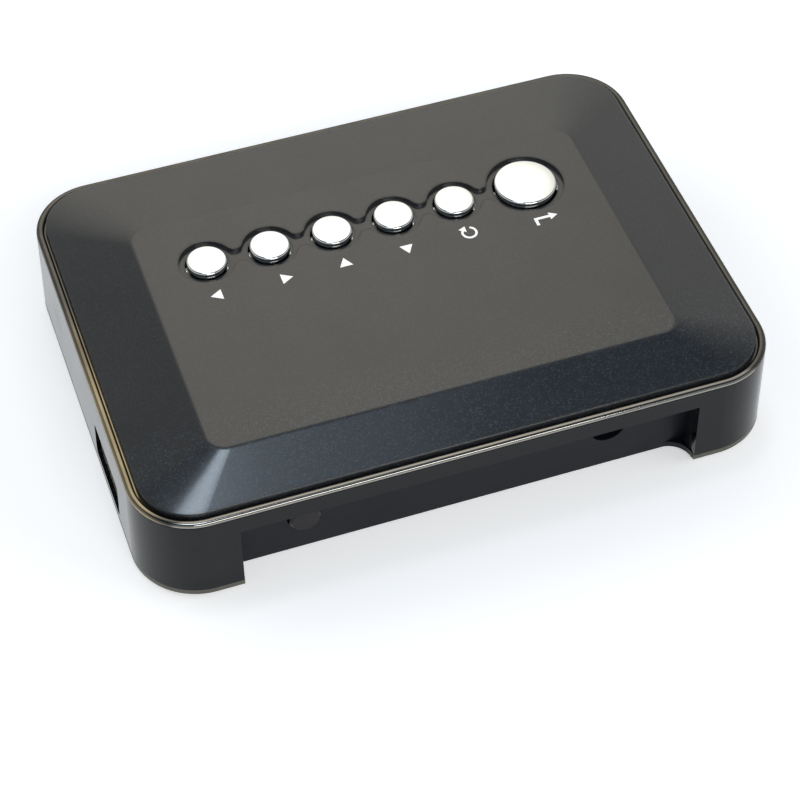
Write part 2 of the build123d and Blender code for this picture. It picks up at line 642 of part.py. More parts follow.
with BuildPart() as main_board:
    with BuildSketch(Plane.XY.offset(board_bottom)):
        with Locations((0, (board_front + board_rear) / 2)):
            Rectangle(2 * board_half_length, board_rear - board_front)
        # corners left free for the posts
        for corner_x in (-board_half_length, board_half_length):
            for corner_y in (board_front, board_rear):
                reach_x = 2 * (board_half_length - post_x + post_clearance)
                reach_y = 2 * (abs(corner_y) - post_y + post_clearance)
                with Locations((corner_x, corner_y)):
                    Rectangle(reach_x, reach_y, mode=Mode.SUBTRACT)
        # cut-outs of the sunk sockets
        usb_cut_length = board_half_length - usb_back + BOARD_CUTOUT_CLEARANCE
        with Locations((board_half_length - usb_cut_length / 2, USB_Y)):
            Rectangle(
                usb_cut_length, USB_SHELL_WIDTH + 2 * BOARD_CUTOUT_CLEARANCE, mode=Mode.SUBTRACT
            )
        power_cut = board_rear - recess_inner_face + POWER_BODY_LENGTH + BOARD_CUTOUT_CLEARANCE
        with Locations((POWER_X, board_rear - power_cut / 2)):
            Rectangle(
                POWER_BODY_WIDTH + 2 * BOARD_CUTOUT_CLEARANCE, power_cut, mode=Mode.SUBTRACT
            )
        receiver_cut = (
            board_rear - recess_inner_face + RECEIVER_BODY_LENGTH + BOARD_CUTOUT_CLEARANCE
        )
        with Locations((RECEIVER_X, board_rear - receiver_cut / 2)):
            Rectangle(
                RECEIVER_BODY_WIDTH + 2 * BOARD_CUTOUT_CLEARANCE, receiver_cut, mode=Mode.SUBTRACT
            )
        with BuildSketch(mode=Mode.PRIVATE) as board_holes:
            with Locations(*standoff_places):
                pilot_hole(BOARD_SCREW_DIAMETER)
        add(board_holes.sketch, mode=Mode.SUBTRACT)
    extrude(amount=BOARD_THICKNESS)
keep(main_board.part, "main_board")

# ------------------------------------------------------------------ HDMI socket
hdmi_rear = recess_face - HDMI_SET_BACK
hdmi_floor = HDMI_AXIS_HEIGHT - HDMI_MOUTH_HEIGHT / 2 - SHEET_THICKNESS


def hdmi_profile(grow):
    """Mouth of the socket, with its two lower corners bevelled, grown by grow."""
    half_width = HDMI_MOUTH_WIDTH / 2 + grow
    half_height = HDMI_MOUTH_HEIGHT / 2 + grow
    Polygon(
        (-half_width, half_height),
        (-half_width, HDMI_CORNER - half_height),
        (HDMI_CORNER - half_width, -half_height),
        (half_width - HDMI_CORNER, -half_height),
        (half_width, HDMI_CORNER - half_height),
        (half_width, half_height),
        align=None,
    )


with BuildPart() as hdmi_shell:
    with BuildSketch(rear_plane(hdmi_rear, HDMI_X, HDMI_AXIS_HEIGHT)):
        hdmi_profile(SHEET_THICKNESS)
    extrude(amount=-HDMI_LENGTH)
    with BuildSketch(rear_plane(hdmi_rear, HDMI_X, HDMI_AXIS_HEIGHT)):
        hdmi_profile(0)
    extrude(amount=-HDMI_LENGTH, mode=Mode.SUBTRACT)
    # feet soldered to the board
    with BuildSketch(Plane.XY.offset(board_top)):
        hdmi_foot_reach = HDMI_MOUTH_WIDTH / 2 - HDMI_CORNER - SHEET_THICKNESS
        with Locations((HDMI_X, hdmi_rear - HDMI_LENGTH / 2)):
            with GridLocations(2 * hdmi_foot_reach, 1, 2, 1):
                Rectangle(HDMI_FOOT_WIDTH, HDMI_FOOT_LENGTH)
    extrude(amount=hdmi_floor - board_top + SHEET_THICKNESS / 2)
keep(hdmi_shell.part, "hdmi_shell")

with BuildPart() as hdmi_insulator:
    with BuildSketch(rear_plane(hdmi_rear - HDMI_LENGTH, HDMI_X, HDMI_AXIS_HEIGHT)):
        hdmi_profile(-HDMI_BLOCK_FIT)
    extrude(amount=HDMI_BLOCK_DEPTH)
    with BuildSketch(rear_plane(hdmi_rear - HDMI_LENGTH, HDMI_X, HDMI_AXIS_HEIGHT)):
        Rectangle(HDMI_TONGUE_WIDTH, HDMI_TONGUE_THICKNESS)
    extrude(amount=HDMI_LENGTH - HDMI_TONGUE_SET_BACK)
keep(hdmi_insulator.part, "hdmi_insulator")

# ------------------------------------------------------------------ AV jack
with BuildPart() as av_jack:
    with BuildSketch(rear_plane(recess_inner_face, AV_X, board_top)):
        with Locations((0, (AV_AXIS_HEIGHT + AV_BODY_HEIGHT / 2 - board_top) / 2)):
            Rectangle(AV_BODY_WIDTH, AV_AXIS_HEIGHT + AV_BODY_HEIGHT / 2 - board_top)
    extrude(amount=av_jack_back - recess_inner_face)
    with BuildSketch(rear_plane(recess_inner_face, AV_X, AV_AXIS_HEIGHT)):
        Circle(AV_NOSE_DIAMETER / 2)
    extrude(amount=RECESS_WALL)
    with BuildSketch(rear_plane(recess_face, AV_X, AV_AXIS_HEIGHT)):
        Circle(AV_BORE_DIAMETER / 2)
    extrude(amount=-(AV_LENGTH - AV_BACK_WALL), mode=Mode.SUBTRACT)
keep(av_jack.part, "av_jack")

# ------------------------------------------------------------------ power jack
with BuildPart() as power_jack:
    with BuildSketch(rear_plane(recess_inner_face, POWER_X, POWER_AXIS_HEIGHT)) as jack_face:
        Rectangle(POWER_BODY_WIDTH, POWER_BODY_HEIGHT)
        chamfer(jack_face.vertices().group_by(Axis.Z)[-1], POWER_BODY_CHAMFER)
    extrude(amount=-POWER_BODY_LENGTH)
    with BuildSketch(rear_plane(recess_inner_face, POWER_X, POWER_AXIS_HEIGHT)):
        Circle(POWER_BORE_DIAMETER / 2)
    extrude(amount=-POWER_BORE_DEPTH, mode=Mode.SUBTRACT)
keep(power_jack.part, "power_jack")

with BuildPart() as power_jack_pin:
    pin_foot = recess_inner_face - POWER_BORE_DEPTH
    with BuildSketch(rear_plane(pin_foot, POWER_X, POWER_AXIS_HEIGHT)):
        Circle(POWER_PIN_DIAMETER / 2)
    extrude(amount=POWER_BORE_DEPTH - POWER_PIN_SET_BACK)
keep(power_jack_pin.part, "power_jack_pin")

# ------------------------------------------------------------------ infrared receiver
receiver_back = recess_inner_face - RECEIVER_BODY_LENGTH

with BuildPart() as infrared_receiver:
    with BuildSketch(rear_plane(recess_inner_face, RECEIVER_X, RECEIVER_AXIS_HEIGHT)):
        Rectangle(RECEIVER_BODY_WIDTH, RECEIVER_BODY_HEIGHT)
    extrude(amount=-RECEIVER_BODY_LENGTH)
    with BuildSketch(rear_plane(recess_inner_face, RECEIVER_X, RECEIVER_AXIS_HEIGHT)):
        Circle(RECEIVER_NOSE_DIAMETER / 2)
    extrude(amount=RECESS_WALL + RECEIVER_REACH)
    chamfer(infrared_receiver.edges().group_by(Axis.Y)[-1], RECEIVER_NOSE_CHAMFER)
keep(infrared_receiver.part, "infrared_receiver")

with BuildPart() as receiver_leads:
    with BuildSketch(Plane.XY.offset(board_top)):
        with Locations((RECEIVER_X, receiver_back - RECEIVER_LEAD_LENGTH / 2)):
            with GridLocations(RECEIVER_LEAD_PITCH, 1, 3, 1):
                Rectangle(RECEIVER_LEAD_WIDTH, RECEIVER_LEAD_LENGTH)
    extrude(amount=SHEET_THICKNESS)
keep(receiver_leads.part, "receiver_leads")

# ------------------------------------------------------------------ USB socket
usb_mouth_width = USB_SHELL_WIDTH - 2 * SHEET_THICKNESS
usb_mouth_height = USB_SHELL_HEIGHT - 2 * SHEET_THICKNESS
usb_plane = Plane(origin=(usb_back, USB_Y, usb_axis_height), x_dir=(0, 1, 0), z_dir=(1, 0, 0))
tongue_plane = usb_plane.offset(SHEET_THICKNESS)

with BuildPart() as usb_shell:
    with BuildSketch(usb_plane):
        Rectangle(USB_SHELL_WIDTH, USB_SHELL_HEIGHT)
    extrude(amount=USB_SHELL_LENGTH)
    chamfer(usb_shell.edges().filter_by(Axis.X), SHEET_THICKNESS)
    with BuildSketch(tongue_plane):
        Rectangle(usb_mouth_width, usb_mouth_height)
    extrude(amount=USB_SHELL_LENGTH, mode=Mode.SUBTRACT)
keep(usb_shell.part, "usb_shell")

with BuildPart() as usb_insulator:
    with BuildSketch(tongue_plane):
        Rectangle(usb_mouth_width - 2 * USB_BLOCK_FIT, usb_mouth_height - 2 * USB_BLOCK_FIT)
    extrude(amount=USB_BLOCK_DEPTH)
    with BuildSketch(tongue_plane):
        with Locations((0, USB_TONGUE_OFFSET)):
            Rectangle(USB_TONGUE_WIDTH, USB_TONGUE_THICKNESS)
    extrude(amount=USB_SHELL_LENGTH - SHEET_THICKNESS - USB_TONGUE_SET_BACK)
keep(usb_insulator.part, "usb_insulator")

with BuildPart() as usb_contacts:
    contact_height = USB_TONGUE_OFFSET - USB_TONGUE_THICKNESS / 2 - USB_CONTACT_THICKNESS / 2
    with BuildSketch(tongue_plane.offset(USB_BLOCK_DEPTH)):
        with Locations((0, contact_height)):
            with GridLocations(USB_CONTACT_PITCH, 1, 4, 1):
                Rectangle(USB_CONTACT_WIDTH, USB_CONTACT_THICKNESS)
    extrude(amount=USB_CONTACT_LENGTH)
keep(usb_contacts.part, "usb_contacts")


# ------------------------------------------------------------------ chips and small parts
def chip(name, centres, size):
    """Flat packages standing on the main board."""
    with BuildPart() as package:
        with BuildSketch(Plane.XY.offset(board_top)):
            with Locations(*centres):
                Rectangle(size[0], size[1])
        extrude(amount=size[2])
        chamfer(package.edges().group_by(Axis.Z)[-1], CHIP_EDGE_CHAMFER)
    keep(package.part, name)


chip("processor", [PROCESSOR_CENTRE], (PROCESSOR_SIZE, PROCESSOR_SIZE, PROCESSOR_HEIGHT))
memory_rear_y = av_jack_back - MEMORY_CLEARANCE - MEMORY_SIZE[1] / 2
memory_centres = [(MEMORY_X, memory_rear_y), (MEMORY_X, memory_rear_y - MEMORY_PITCH)]
chip("memory_chips", memory_centres, MEMORY_SIZE)
chip("flash_chip", [FLASH_CENTRE], FLASH_SIZE)

sink_bottom = board_top + PROCESSOR_HEIGHT + PAD_THICKNESS

with BuildPart() as thermal_pad:
    with BuildSketch(Plane.XY.offset(sink_bottom - PAD_THICKNESS)):
        with Locations(PROCESSOR_CENTRE):
            Rectangle(PAD_SIZE, PAD_SIZE)
    extrude(amount=PAD_THICKNESS)
keep(thermal_pad.part, "thermal_pad")

with BuildPart() as heat_sink:
    with BuildSketch(Plane.XY.offset(sink_bottom)):
        with Locations(PROCESSOR_CENTRE):
            Rectangle(SINK_SIZE, SINK_SIZE)
    extrude(amount=SINK_BASE)
    fin_pitch = (SINK_SIZE - SINK_FIN_THICKNESS) / (SINK_FIN_COUNT - 1)
    with BuildSketch(Plane.XY.offset(sink_bottom + SINK_BASE)):
        with Locations(PROCESSOR_CENTRE):
            with GridLocations(fin_pitch, 1, SINK_FIN_COUNT, 1):
                Rectangle(SINK_FIN_THICKNESS, SINK_SIZE)
    extrude(amount=SINK_FIN_HEIGHT)
keep(heat_sink.part, "heat_sink")

with BuildPart() as crystal:
    with BuildSketch(Plane.XY.offset(board_top)) as crystal_outline:
        with Locations(CRYSTAL_CENTRE):
            Rectangle(CRYSTAL_SIZE[0], CRYSTAL_SIZE[1])
        chamfer(crystal_outline.vertices(), CRYSTAL_CHAMFER)
    extrude(amount=CRYSTAL_SIZE[2])
keep(crystal.part, "crystal")

with BuildPart() as power_inductor:
    with BuildSketch(Plane.XY.offset(board_top)) as coil_outline:
        with Locations((INDUCTOR_INSET_X - CASE_LENGTH / 2, INDUCTOR_Y)):
            Rectangle(INDUCTOR_SIZE, INDUCTOR_SIZE)
        chamfer(coil_outline.vertices(), INDUCTOR_CHAMFER)
    extrude(amount=INDUCTOR_HEIGHT)
keep(power_inductor.part, "power_inductor")

capacitor_x = CAPACITOR_INSET_X - CASE_LENGTH / 2
capacitor_places = [(capacitor_x, capacitor_y) for capacitor_y in CAPACITOR_LINE]
capacitor_places.append(LONE_CAPACITOR_CENTRE)

with BuildPart() as electrolytic_capacitors:
    with BuildSketch(Plane.XY.offset(board_top)):
        with Locations(*capacitor_places):
            Rectangle(CAPACITOR_BASE, CAPACITOR_BASE)
    extrude(amount=CAPACITOR_BASE_HEIGHT)
    with BuildSketch(Plane.XY.offset(board_top)):
        with Locations(*capacitor_places):
            RegularPolygon(CAPACITOR_DIAMETER / 2, HIDDEN_ROUND_SIDES)
    extrude(amount=CAPACITOR_HEIGHT)
keep(electrolytic_capacitors.part, "electrolytic_capacitors")

# ------------------------------------------------------------------ flat cable between the boards
header_front = HEADER_Y - HEADER_DEPTH / 2
main_slot_level = board_top + MAIN_HEADER_HEIGHT / 2
key_slot_level = key_board_bottom - KEY_HEADER_HEIGHT / 2

with BuildPart() as main_header:
    with BuildSketch(Plane.XY.offset(board_top)):
        with Locations((HEADER_X, HEADER_Y)):
            Rectangle(HEADER_LENGTH, HEADER_DEPTH)
    extrude(amount=MAIN_HEADER_HEIGHT)
keep(main_header.part, "main_header")

with BuildPart() as key_header:
    with BuildSketch(Plane.XY.offset(key_board_bottom)):
        with Locations((HEADER_X, HEADER_Y)):
            Rectangle(HEADER_LENGTH, HEADER_DEPTH)
    extrude(amount=-KEY_HEADER_HEIGHT)
keep(key_header.part, "key_header")

with BuildPart() as flat_cable:
    turn_y = header_front - CABLE_RUN
    turn_radius = (key_slot_level - main_slot_level) / 2
    with BuildLine():
        upper_run = Line(
            (HEADER_X, header_front, key_slot_level), (HEADER_X, turn_y, key_slot_level)
        )
        turn = ThreePointArc(
            (HEADER_X, turn_y, key_slot_level),
            (HEADER_X, turn_y - turn_radius, main_slot_level + turn_radius),
            (HEADER_X, turn_y, main_slot_level),
        )
        Line((HEADER_X, turn_y, main_slot_level), (HEADER_X, header_front, main_slot_level))
    with BuildSketch(
        Plane(origin=(HEADER_X, header_front, key_slot_level), x_dir=(1, 0, 0), z_dir=(0, -1, 0))
    ):
        Rectangle(CABLE_WIDTH, CABLE_THICKNESS)
    sweep()
keep(flat_cable.part, "flat_cable")

# ------------------------------------------------------------------ write every piece
os.makedirs("parts", exist_ok=True)
for piece in finished:
    export_step(piece, "parts/" + piece.label + ".step")
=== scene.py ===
import json
from math import copysign, cos, pi, radians, sin

import bmesh
import bpy
from mathutils import Matrix, Vector


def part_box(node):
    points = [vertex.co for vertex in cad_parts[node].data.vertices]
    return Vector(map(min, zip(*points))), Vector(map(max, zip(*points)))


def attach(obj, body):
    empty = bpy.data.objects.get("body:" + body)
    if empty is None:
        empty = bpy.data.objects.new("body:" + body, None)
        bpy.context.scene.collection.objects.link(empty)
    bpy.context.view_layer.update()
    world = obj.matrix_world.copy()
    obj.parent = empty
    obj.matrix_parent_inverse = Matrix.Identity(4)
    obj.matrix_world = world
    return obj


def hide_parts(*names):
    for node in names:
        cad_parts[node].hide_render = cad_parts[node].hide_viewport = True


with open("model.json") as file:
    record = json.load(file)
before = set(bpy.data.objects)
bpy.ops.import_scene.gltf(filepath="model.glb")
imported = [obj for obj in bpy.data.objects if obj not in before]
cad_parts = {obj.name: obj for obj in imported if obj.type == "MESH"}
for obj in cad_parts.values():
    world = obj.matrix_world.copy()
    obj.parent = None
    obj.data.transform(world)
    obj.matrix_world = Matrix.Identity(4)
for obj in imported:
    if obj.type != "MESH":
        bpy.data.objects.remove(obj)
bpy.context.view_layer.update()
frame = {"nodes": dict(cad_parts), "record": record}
scene = bpy.context.scene
scene.view_settings.view_transform = "Standard"

MM = 0.001
X, Y, Z = 0, 1, 2
PANEL_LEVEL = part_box("top_cover")[1][Z]

# ------------------------------------------------------------------ camera
CAMERA_PLACE = Vector((0.091015, 0.267088, 0.310869))
CAMERA_RIGHT = Vector((-0.944575, 0.328289, -0.001955))
CAMERA_DOWN = Vector((0.248704, 0.711675, -0.657012))
CAMERA_FORWARD = Vector((-0.214299, -0.621083, -0.753878))
SENSOR_WIDTH = 36.0
FOCAL_PIXELS = 2398.78
IMAGE_PIXELS = 800.0


def add_camera():
    camera = bpy.data.cameras.new("camera")
    camera.sensor_fit = "HORIZONTAL"
    camera.sensor_width = SENSOR_WIDTH
    camera.lens = FOCAL_PIXELS * SENSOR_WIDTH / IMAGE_PIXELS
    camera.clip_start = 0.01
    camera.clip_end = 20.0
    holder = bpy.data.objects.new("camera", camera)
    turn = Matrix((CAMERA_RIGHT, -CAMERA_DOWN, -CAMERA_FORWARD)).transposed()
    holder.matrix_world = Matrix.Translation(CAMERA_PLACE) @ turn.to_4x4()
    scene.collection.objects.link(holder)
    scene.camera = holder


# ------------------------------------------------------------------ node helpers
# the Mix node's sockets for colours
MIX_FIRST, MIX_SECOND, MIX_RESULT = 6, 7, 2


class Nodes:
    """A material or world node tree with short ways to add what the surfaces need."""

    def __init__(self, tree):
        self.tree = tree
        self.tree.nodes.clear()

    def add(self, kind, **settings):
        node = self.tree.nodes.new(kind)
        for name, value in settings.items():
            setattr(node, name, value)
        return node

    def put(self, socket, value):
        """Link another node's output to a socket, or set the socket to a value."""
        if isinstance(value, bpy.types.NodeSocket):
            self.tree.links.new(value, socket)
        elif isinstance(value, tuple) and len(value) == 3 and socket.type == "RGBA":
            socket.default_value = (*value, 1.0)
        else:
            socket.default_value = value

    def place(self):
        return self.add("ShaderNodeTexCoord").outputs["Object"]

    def part_of(self, vector, axis):
        node = self.add("ShaderNodeSeparateXYZ")
        self.put(node.inputs[0], vector)
        return node.outputs[axis]

    def noise(self, scale, detail=2.0, roughness=0.5):
        node = self.add("ShaderNodeTexNoise")
        self.put(node.inputs["Vector"], self.place())
        node.inputs["Scale"].default_value = scale
        node.inputs["Detail"].default_value = detail
        node.inputs["Roughness"].default_value = roughness
        return node.outputs["Fac"]

    def drift(self, scale, detail=4.0, roughness=0.6):
        """Slow wander between zero and one."""
        return self.span(self.noise(scale, detail, roughness), 0.35, 0.65)

    def cells(self, scale):
        """A random colour for each small cell."""
        node = self.add("ShaderNodeTexVoronoi")
        self.put(node.inputs["Vector"], self.place())
        node.inputs["Scale"].default_value = scale
        return node.outputs["Color"]

    def calc(self, operation, *values):
        node = self.add("ShaderNodeMath", operation=operation)
        for socket, value in zip(node.inputs, values):
            self.put(socket, value)
        return node.outputs[0]

    def span(self, value, low, high, to_low=0.0, to_high=1.0, kind="LINEAR"):
        """A value that goes from low to high comes out going from to_low to to_high."""
        node = self.add("ShaderNodeMapRange", interpolation_type=kind)
        self.put(node.inputs["Value"], value)
        limits = {"From Min": low, "From Max": high, "To Min": to_low, "To Max": to_high}
        for name, number in limits.items():
            node.inputs[name].default_value = number
        return node.outputs["Result"]

    def fade(self, value, low, high, to_low=0.0, to_high=1.0):
        """As span, with soft ends."""
        return self.span(value, low, high, to_low, to_high, "SMOOTHSTEP")

    def blend(self, factor, first, second):
        node = self.add("ShaderNodeMix", data_type="RGBA")
        self.put(node.inputs["Factor"], factor)
        self.put(node.inputs[MIX_FIRST], first)
        self.put(node.inputs[MIX_SECOND], second)
        return node.outputs[MIX_RESULT]

    def bump(self, height, distance, strength=1.0, below=None):
        node = self.add("ShaderNodeBump")
        self.put(node.inputs["Height"], height)
        node.inputs["Distance"].default_value = distance
        node.inputs["Strength"].default_value = strength
        if below is not None:
            self.put(node.inputs["Normal"], below)
        return node.outputs["Normal"]


def surface(name, colour, roughness, metallic, normal, **more):
    """Principled material. colour, roughness and normal are functions of the node tree."""
    material = bpy.data.materials.new(name)
    material.use_nodes = True
    nodes = Nodes(material.node_tree)
    shader = nodes.add("ShaderNodeBsdfPrincipled")
    output = nodes.add("ShaderNodeOutputMaterial")
    nodes.put(output.inputs["Surface"], shader.outputs[0])
    nodes.put(shader.inputs["Base Color"], colour(nodes))
    nodes.put(shader.inputs["Roughness"], roughness(nodes))
    nodes.put(shader.inputs["Metallic"], metallic)
    nodes.put(shader.inputs["Normal"], normal(nodes))
    for key, value in more.items():
        nodes.put(shader.inputs[key.replace("_", " ")], value)
    return material


def varied(dark, light, scale):
    """Colour that wanders between two tones."""
    return lambda nodes: nodes.blend(nodes.drift(scale), dark, light)


def smudged(clean, dull, scale):
    """Roughness that wanders, as where a surface was handled."""
    return lambda nodes: nodes.span(nodes.noise(scale, 5.0, 0.62), 0.38, 0.68, clean, dull)


def grained(scale, height, detail):
    """Fine relief of the mould, the plating or the rolled sheet."""
    return lambda nodes: nodes.bump(nodes.noise(scale, detail), height)


# ------------------------------------------------------------------ lid lacquer
LACQUER_DARK = (0.0085, 0.0092, 0.0105)
LACQUER_LIGHT = (0.0115, 0.0120, 0.0132)
RIPPLE_SCALE = 900.0
RIPPLE_HEIGHT = 0.00001
FLAKE_COLOUR = (0.036, 0.048, 0.068)
FLAKE_SCALE = 5200.0
FLAKE_SHARE = 0.72
FLAKE_HEIGHT = 0.00003
RELIEF_STRENGTH = 0.25
# where the flake colour is painted stronger: a painted glint on the bevel over the recess
PAINTED_GLINT_Y = (0.018, 0.027)
PAINTED_GLINT_LEAST = 0.35
EDGE_SOFTNESS = 0.0008
EDGE_SAMPLES = 6


def lid_colour(nodes):
    """Near black with blue-grey flakes, painted brighter on the bevel over the recess as a painted
    glint of the lamps.
    """
    body = nodes.blend(nodes.drift(60.0, 3.0, 0.5), LACQUER_DARK, LACQUER_LIGHT)
    flakes = nodes.span(nodes.part_of(nodes.cells(FLAKE_SCALE), X), FLAKE_SHARE, 1.0)
    # painted glint: flake colour grows towards the near bevel, standing in for light catching the
    # flakes
    painted_glint = nodes.fade(nodes.part_of(nodes.place(), Y), *PAINTED_GLINT_Y, PAINTED_GLINT_LEAST, 1.0)
    return nodes.blend(nodes.calc("MULTIPLY", flakes, painted_glint), body, FLAKE_COLOUR)


def lid_normal(nodes):
    """Edges drawn soft, as thick lacquer leaves them, under tilted flakes and a faint ripple."""
    soft = nodes.add("ShaderNodeBevel", samples=EDGE_SAMPLES)
    soft.inputs["Radius"].default_value = EDGE_SOFTNESS
    tilt = nodes.part_of(nodes.cells(FLAKE_SCALE), Y)
    flakes = nodes.bump(tilt, FLAKE_HEIGHT, RELIEF_STRENGTH, soft.outputs[0])
    return nodes.bump(nodes.noise(RIPPLE_SCALE), RIPPLE_HEIGHT, RELIEF_STRENGTH, flakes)


# ------------------------------------------------------------------ side frame and trim
FRAME_DARK = (0.0050, 0.0060, 0.0080)
FRAME_LIGHT = (0.0075, 0.0085, 0.0105)
# darker, bluer colour inside the cable recess: painted shade under its roof
RECESS_PAINTED_SHADE = (0.0040, 0.0055, 0.0095)
RECESS_DULLNESS = 0.34
RECESS_INNER_Y = (0.030, 0.034)
RECESS_OUTER_Y = (0.0385, 0.0392)
RECESS_ROOF_Z = (0.0142, 0.0145)
RECESS_END_X = (0.0396, 0.0400)
NICKEL_DARK = (0.095, 0.092, 0.085)
NICKEL_LIGHT = (0.130, 0.125, 0.115)
# bright band along the bead's edge over the recess: painted highlight
NICKEL_PAINTED_HIGHLIGHT = (0.30, 0.29, 0.27)
PAINTED_HIGHLIGHT_Y = (0.0380, 0.0388)
# warm band along the wall with the USB socket: painted highlight of the bead
PAINTED_WARM_DARK = (0.25, 0.215, 0.145)
PAINTED_WARM_LIGHT = (0.35, 0.30, 0.205)
PAINTED_WARM_X = (0.0500, 0.0535)
PAINTED_WARM_Y = (-0.016, 0.010)


def recess_share(nodes):
    """One inside the cable recess, zero outside it."""
    place = nodes.place()
    across, depth, height = (nodes.part_of(place, axis) for axis in (X, Y, Z))
    share = nodes.calc(
        "MULTIPLY", nodes.span(depth, *RECESS_OUTER_Y, 1.0, 0.0),
        nodes.span(height, *RECESS_ROOF_Z, 1.0, 0.0),
    )
    reach = nodes.calc("ABSOLUTE", across)
    share = nodes.calc("MULTIPLY", share, nodes.span(reach, *RECESS_END_X, 1.0, 0.0))
    return nodes.calc("MULTIPLY", share, nodes.span(depth, *RECESS_INNER_Y))


def frame_colour(nodes):
    gloss = nodes.blend(nodes.drift(40.0), FRAME_DARK, FRAME_LIGHT)
    # inside the recess the colour is painted shade
    return nodes.blend(recess_share(nodes), gloss, RECESS_PAINTED_SHADE)


def frame_roughness(nodes):
    """Gloss outside, and a duller mould inside the recess."""
    worn = smudged(0.07, 0.16, 90.0)(nodes)
    return nodes.calc("ADD", worn, nodes.calc("MULTIPLY", recess_share(nodes), RECESS_DULLNESS))


def trim_colour(nodes):
    """Dark nickel, with a painted warm highlight along the wall with the USB socket and a painted
    bright highlight along the edge over the recess.
    """
    place = nodes.place()
    across, depth = nodes.part_of(place, X), nodes.part_of(place, Y)
    drift = nodes.drift(120.0)
    nickel = nodes.blend(drift, NICKEL_DARK, NICKEL_LIGHT)
    # painted warm highlight along the wall with the USB socket
    painted_warm_tone = nodes.blend(drift, PAINTED_WARM_DARK, PAINTED_WARM_LIGHT)
    painted_warm_share = nodes.calc("MULTIPLY", nodes.fade(across, *PAINTED_WARM_X), nodes.fade(depth, *PAINTED_WARM_Y))
    # painted bright highlight along the edge over the recess
    return nodes.blend(
        nodes.fade(depth, *PAINTED_HIGHLIGHT_Y), nodes.blend(painted_warm_share, nickel, painted_warm_tone), NICKEL_PAINTED_HIGHLIGHT,
    )


# ------------------------------------------------------------------ finishes
def make_materials():
    """One material for each slot of the record."""
    return {
        "lid_plastic": surface(
            "lid_lacquer", lid_colour, smudged(0.28, 0.36, 70.0), 0.0, lid_normal,
            Coat_Weight=1.0, Coat_Roughness=0.14, Coat_IOR=1.5,
        ),
        "trim_metal": surface(
            "smoked_nickel", trim_colour,
            smudged(0.07, 0.12, 160.0), 1.0, grained(1800.0, 0.000004, 2.0),
        ),
        "frame_plastic": surface(
            "piano_black", frame_colour,
            frame_roughness, 0.0, grained(1900.0, 0.000020, 2.0), IOR=1.30,
        ),
        "base_plastic": surface(
            "olive_base", varied((0.085, 0.080, 0.062), (0.115, 0.108, 0.086), 220.0),
            smudged(0.38, 0.52, 150.0), 0.0, grained(5200.0, 0.00002, 3.0),
        ),
        "cap_mirror": surface(
            "cap_chrome", varied((0.93, 0.965, 0.99), (0.96, 0.985, 1.0), 300.0),
            smudged(0.04, 0.08, 420.0), 1.0, grained(1500.0, 0.000001, 1.0),
        ),
        "foot_rubber": surface(
            "foot_rubber", varied((0.018, 0.018, 0.019), (0.030, 0.030, 0.030), 500.0),
            smudged(0.65, 0.85, 300.0), 0.0, grained(4200.0, 0.00003, 3.0),
        ),
        "screw_steel": surface(
            "black_zinc", varied((0.20, 0.20, 0.21), (0.30, 0.30, 0.30), 900.0),
            smudged(0.25, 0.42, 700.0), 1.0, grained(3000.0, 0.00001, 2.0),
        ),
        "board_laminate": surface(
            "solder_mask", varied((0.010, 0.075, 0.035), (0.016, 0.105, 0.050), 260.0),
            smudged(0.28, 0.42, 200.0), 0.0, grained(2600.0, 0.00001, 2.0),
        ),
        "chip_package": surface(
            "epoxy_black", varied((0.022, 0.022, 0.023), (0.032, 0.032, 0.033), 700.0),
            smudged(0.48, 0.62, 500.0), 0.0, grained(6000.0, 0.00001, 3.0),
        ),
        "black_plastic": surface(
            "socket_black", varied((0.014, 0.014, 0.015), (0.022, 0.022, 0.023), 400.0),
            smudged(0.30, 0.44, 300.0), 0.0, grained(3800.0, 0.00001, 2.0),
        ),
        "tongue_plastic": surface(
            "tongue_white", varied((0.56, 0.55, 0.51), (0.66, 0.65, 0.61), 500.0),
            smudged(0.38, 0.50, 300.0), 0.0, grained(3200.0, 0.00001, 2.0),
        ),
        "receiver_plastic": surface(
            "receiver_violet", varied((0.006, 0.004, 0.008), (0.010, 0.007, 0.012), 500.0),
            smudged(0.20, 0.30, 300.0), 0.0, grained(1500.0, 0.000005, 1.0), IOR=1.36,
        ),
        "socket_steel": surface(
            "nickel_sheet", varied((0.46, 0.46, 0.45), (0.60, 0.60, 0.58), 260.0),
            smudged(0.20, 0.36, 400.0), 1.0, grained(2600.0, 0.00001, 2.0),
        ),
        "contact_brass": surface(
            "gold_contact", varied((0.70, 0.52, 0.22), (0.85, 0.68, 0.34), 600.0),
            smudged(0.18, 0.30, 500.0), 1.0, grained(2400.0, 0.00001, 2.0),
        ),
        "sink_aluminium": surface(
            "sink_aluminium", varied((0.48, 0.49, 0.50), (0.60, 0.61, 0.62), 200.0),
            smudged(0.32, 0.48, 300.0), 1.0, grained(2800.0, 0.00001, 2.0),
        ),
        "can_aluminium": surface(
            "can_aluminium", varied((0.62, 0.62, 0.62), (0.74, 0.74, 0.74), 300.0),
            smudged(0.22, 0.34, 300.0), 1.0, grained(2800.0, 0.00001, 2.0),
        ),
        "pad_rubber": surface(
            "thermal_pad", varied((0.24, 0.30, 0.38), (0.32, 0.38, 0.46), 500.0),
            smudged(0.60, 0.80, 300.0), 0.0, grained(3600.0, 0.00002, 3.0),
        ),
        "cable_plastic": surface(
            "cable_film", varied((0.62, 0.62, 0.60), (0.72, 0.72, 0.70), 400.0),
            smudged(0.30, 0.45, 300.0), 0.0, grained(2600.0, 0.00001, 2.0),
        ),
    }


def dress_frame(materials):
    slots = {entry["node"]: entry["material_slot"] for entry in frame["record"]["subparts"]}
    for name, node in frame["nodes"].items():
        for slot in node.material_slots:
            slot.material = materials[slots[name]]


